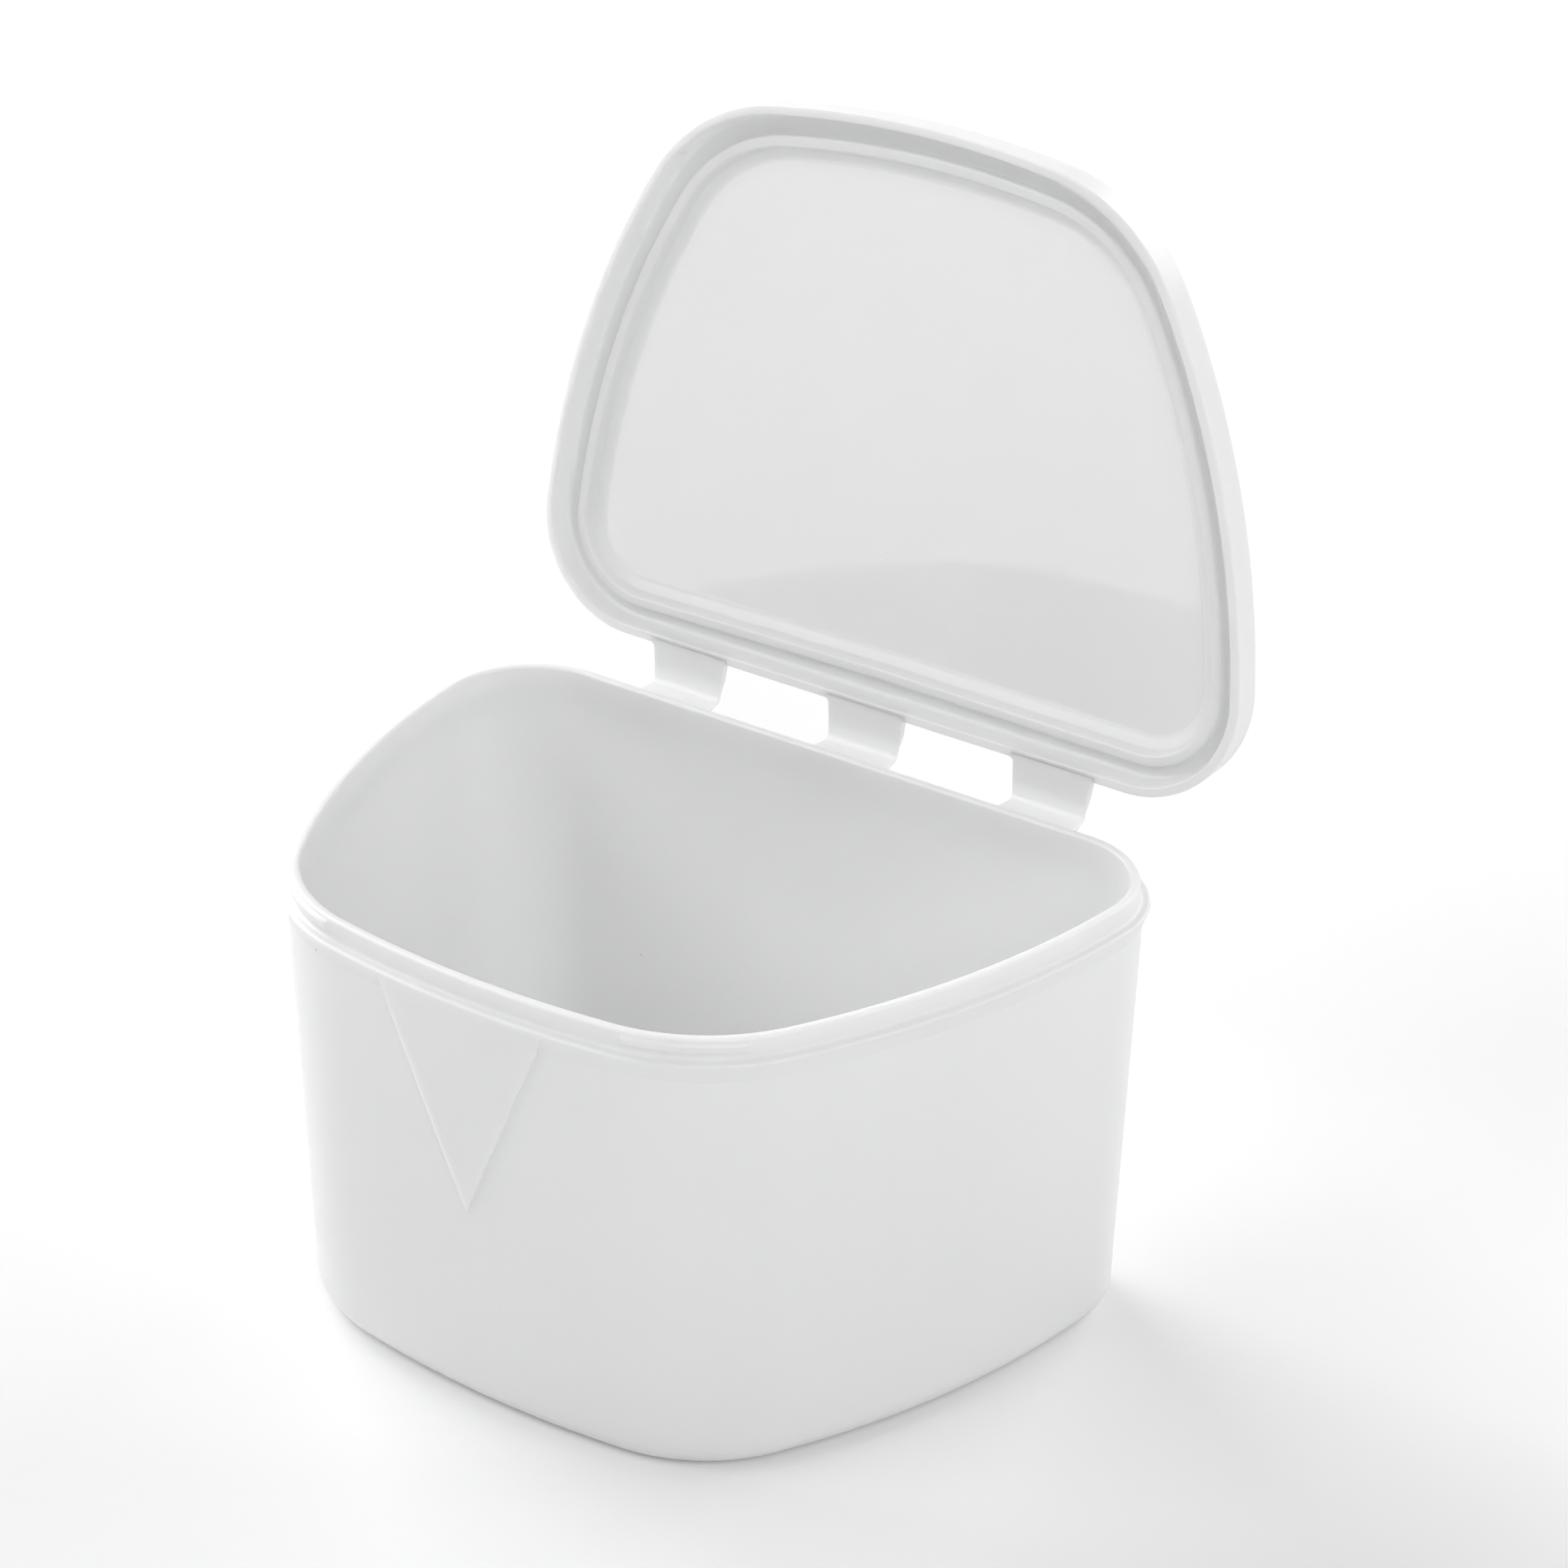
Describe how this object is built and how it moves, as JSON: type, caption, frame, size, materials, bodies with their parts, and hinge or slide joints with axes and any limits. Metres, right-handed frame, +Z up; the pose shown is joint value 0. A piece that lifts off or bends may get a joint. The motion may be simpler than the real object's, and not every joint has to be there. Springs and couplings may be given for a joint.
{
  "type": "retainer case",
  "caption": "Small moulded plastic case for a dental retainer: a deep tapered tub with rounded D outline and a shallow snap lid on film hinge straps.",
  "frame": {"origin": "on the flat base, on the mirror plane, half way between the front and the back of the rim opening", "axes": "+X to the right across the mirror plane, +Y back to the hinge, +Z up out of the tub"},
  "size_m": [0.0954, 0.0842, 0.1243],
  "materials": {
    "tub_plastic": "satin white polypropylene",
    "lid_plastic": "satin white polypropylene, glossy inner panel",
    "hinge_plastic": "satin white polypropylene"
  },
  "bodies": {
    "tub": {"tub": "tub_plastic", "tub_hinge_leaf_left": "hinge_plastic", "tub_hinge_leaf_centre": "hinge_plastic", "tub_hinge_leaf_right": "hinge_plastic", "hinge_film_left": "hinge_plastic", "hinge_film_centre": "hinge_plastic", "hinge_film_right": "hinge_plastic"},
    "lid": {"lid": "lid_plastic", "lid_hinge_leaf_left": "hinge_plastic", "lid_hinge_leaf_centre": "hinge_plastic", "lid_hinge_leaf_right": "hinge_plastic"}
  },
  "joints": [
    {"name": "lid_hinge", "type": "hinge", "parent": "tub", "child": "lid", "pos_m": [0, 0.0389, 0.05142], "axis": [-1, 0, 0], "range_deg": [-95, 85], "deforming": ["hinge_film_left", "hinge_film_centre", "hinge_film_right"]}
  ]
}
